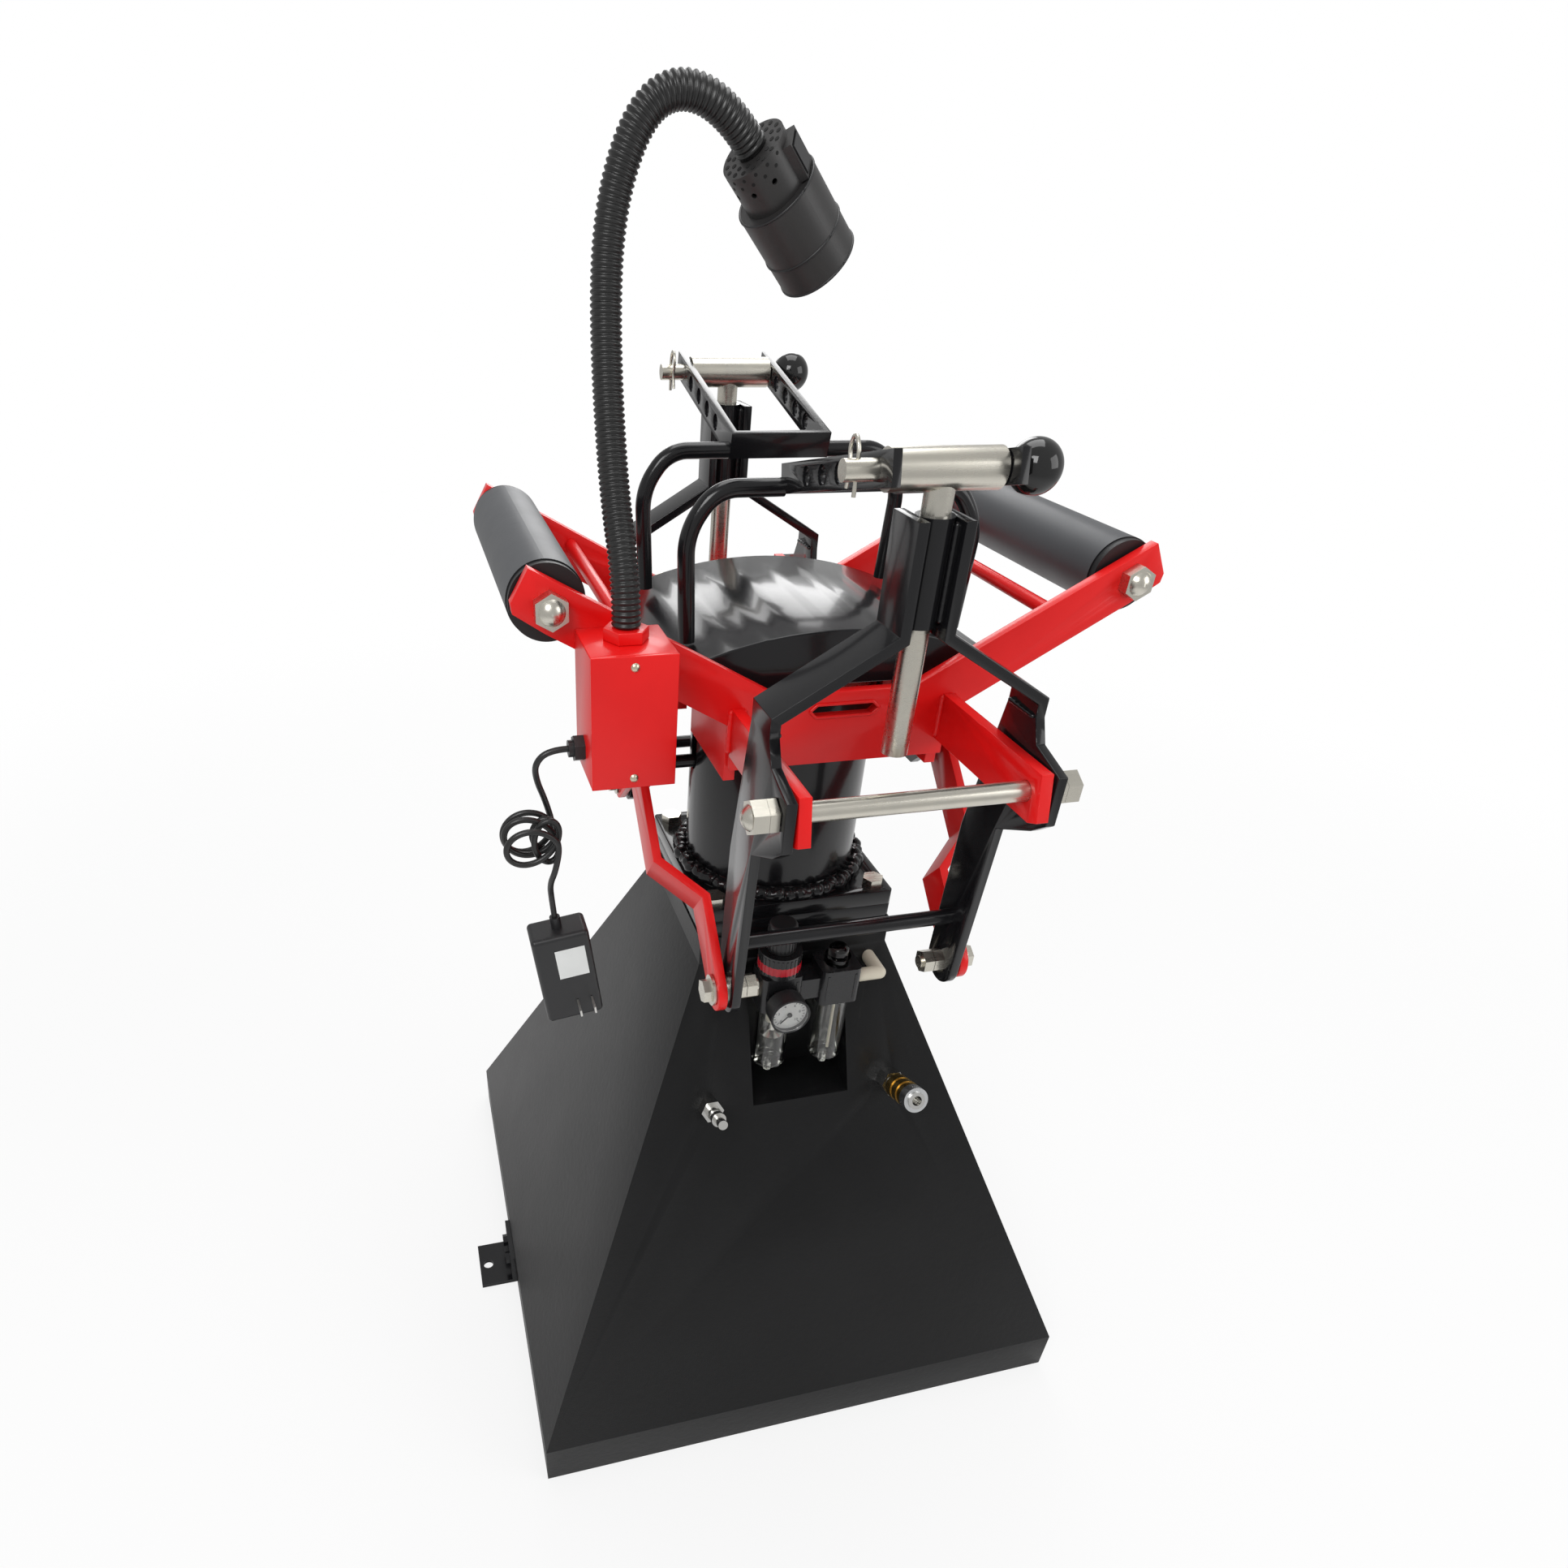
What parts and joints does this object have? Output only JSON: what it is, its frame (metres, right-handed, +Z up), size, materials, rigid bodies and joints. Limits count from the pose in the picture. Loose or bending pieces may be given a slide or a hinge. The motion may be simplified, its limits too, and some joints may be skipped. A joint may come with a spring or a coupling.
{
  "type": "tyre spreader",
  "caption": "Pneumatic floor tyre spreader: tapered pedestal, air cylinder, V-frame with rollers, spreading levers with hooks, saddle, lamp, regulator and air outlet.",
  "frame": {"origin": "middle of the square base, on the floor", "axes": "+X to the right seen from the air unit's side, +Y to the back, +Z up"},
  "size_m": [0.7, 0.61, 1.2139],
  "materials": {
    "red_paint": "gloss",
    "black_paint": "gloss",
    "zinc": "bright zinc plate",
    "chrome": "bright",
    "grey_roller": "satin grey sleeve",
    "black_plastic": "satin",
    "cast_grey": "coated casting",
    "brass": "bright",
    "ivory": "satin",
    "gauge_case": "satin",
    "needle": "matt",
    "clear_bowl": "clear polycarbonate",
    "lens": "clear",
    "hose_rubber": "satin"
  },
  "bodies": {
    "frame": {"base_cabinet": "black_paint", "regulator_pocket": "black_paint", "anchor_lugs": "black_paint", "base_top_plate": "black_paint", "cylinder_flange": "black_paint", "flange_bolts": "zinc", "cylinder_tube": "black_paint", "cylinder_cap": "zinc", "v_plate_front": "red_paint", "v_plate_rear": "red_paint", "frame_webs": "red_paint", "frame_axles": "zinc", "junction_box": "red_paint", "box_cover": "red_paint", "cable_gland": "black_plastic", "air_units": "cast_grey", "air_bowls": "clear_bowl", "bonnet_ring": "red_paint", "pressure_gauge": "gauge_case", "elbow_fittings": "ivory", "air_hoses": "hose_rubber", "quick_coupler": "chrome", "inlet_nipple": "chrome", "cord_upper": "hose_rubber", "cord_hank": "hose_rubber", "cord_lower": "hose_rubber", "adapter": "black_plastic"},
    "lift": {"piston": "cast_grey", "piston_rod": "chrome", "saddle": "black_paint", "cross_shaft": "black_paint", "link_yokes": "black_paint"},
    "roller_left": {"roller_left": "grey_roller"},
    "roller_right": {"roller_right": "grey_roller"},
    "lamp": {"gooseneck": "black_plastic", "lamp_cap": "black_plastic", "lamp_body": "black_plastic", "lamp_lens": "lens"},
    "lamp_rocker": {"lamp_rocker": "black_plastic"},
    "regulator_knob": {"regulator_knob": "black_plastic"},
    "gauge_needle": {"gauge_needle": "needle"},
    "coupler_sleeve": {"coupler_sleeve": "brass"},
    "front_lever": {"front_lever_left": "black_paint", "front_lever_right": "black_paint", "front_lever_sleeve": "black_paint", "front_lever_bolts": "zinc"},
    "front_links": {"front_links": "red_paint"},
    "front_post": {"front_post": "zinc", "front_hook_pin": "zinc"},
    "front_hooks": {"front_hook_bracket": "black_paint", "front_hook_rods": "black_paint"},
    "rear_lever": {"rear_lever_left": "black_paint", "rear_lever_right": "black_paint", "rear_lever_sleeve": "black_paint", "rear_lever_bolts": "zinc"},
    "rear_links": {"rear_links": "red_paint"},
    "rear_post": {"rear_post": "zinc", "rear_hook_pin": "zinc"},
    "rear_hooks": {"rear_hook_bracket": "black_paint", "rear_hook_rods": "black_paint"}
  },
  "joints": [
    {"name": "saddle_lift", "type": "slide", "parent": "frame", "child": "lift", "axis": [0, 0, 1], "range_m": [0, 0.07]},
    {"name": "front_lever_pivot", "type": "hinge", "parent": "frame", "child": "front_lever", "pos_m": [0, -0.281, 0.797], "axis": [1, 0, 0], "range_deg": [0, 14.4]},
    {"name": "front_link_pivot", "type": "hinge", "parent": "lift", "child": "front_links", "pos_m": [0, -0.04, 0.725], "axis": [1, 0, 0], "range_deg": [0, 18.2]},
    {"name": "front_post_slide", "type": "slide", "parent": "front_lever", "child": "front_post", "axis": [0, 0, 1], "range_m": [0, 0.06]},
    {"name": "front_hook_tilt", "type": "hinge", "parent": "front_post", "child": "front_hooks", "pos_m": [0, -0.235, 1.013], "axis": [1, 0, 0], "range_deg": [0, 7.2]},
    {"name": "rear_lever_pivot", "type": "hinge", "parent": "frame", "child": "rear_lever", "pos_m": [0, 0.281, 0.797], "axis": [-1, 0, 0], "range_deg": [0, 14.4]},
    {"name": "rear_link_pivot", "type": "hinge", "parent": "lift", "child": "rear_links", "pos_m": [0, 0.04, 0.725], "axis": [-1, 0, 0], "range_deg": [0, 18.2]},
    {"name": "rear_post_slide", "type": "slide", "parent": "rear_lever", "child": "rear_post", "axis": [0, 0, 1], "range_m": [0, 0.06]},
    {"name": "rear_hook_tilt", "type": "hinge", "parent": "rear_post", "child": "rear_hooks", "pos_m": [0, 0.235, 1.013], "axis": [-1, 0, 0], "range_deg": [0, 7.2]},
    {"name": "left_roller_spin", "type": "hinge", "parent": "frame", "child": "roller_left", "pos_m": [-0.2435, 0, 0.905], "axis": [0, 1, 0], "continuous": true},
    {"name": "right_roller_spin", "type": "hinge", "parent": "frame", "child": "roller_right", "pos_m": [0.2435, 0, 0.905], "axis": [0, 1, 0], "continuous": true},
    {"name": "lamp_swing", "type": "hinge", "parent": "frame", "child": "lamp", "pos_m": [-0.193, -0.168, 0.9], "axis": [0, 0, 1], "range_deg": [-40, 40]},
    {"name": "lamp_switch", "type": "hinge", "parent": "lamp", "child": "lamp_rocker", "pos_m": [-0.06671, -0.09396, 1.17378], "axis": [-0.3277, -0.732, -0.5974], "range_deg": [-7, 7]},
    {"name": "regulator_turn", "type": "hinge", "parent": "frame", "child": "regulator_knob", "pos_m": [-0.029, -0.134, 0.58], "axis": [0, 0, 1], "continuous": true},
    {"name": "gauge_turn", "type": "hinge", "parent": "frame", "child": "gauge_needle", "pos_m": [-0.029, -0.174, 0.511], "axis": [0, 1, 0], "range_deg": [0, 270], "stiffness_Nm_per_rad": 0.0002},
    {"name": "coupler_release", "type": "slide", "parent": "frame", "child": "coupler_sleeve", "axis": [0, 0.9191, -0.3939], "range_m": [0, 0.004], "stiffness_N_per_m": 300}
  ],
  "couplings": [
    {"joint": "front_lever_pivot", "follows": "saddle_lift", "rad_per_m": 3.562},
    {"joint": "front_link_pivot", "follows": "saddle_lift", "rad_per_m": 4.498},
    {"joint": "front_hook_tilt", "follows": "saddle_lift", "rad_per_m": 1.745},
    {"joint": "rear_lever_pivot", "follows": "saddle_lift", "rad_per_m": 3.562},
    {"joint": "rear_link_pivot", "follows": "saddle_lift", "rad_per_m": 4.498},
    {"joint": "rear_hook_tilt", "follows": "saddle_lift", "rad_per_m": 1.745}
  ]
}
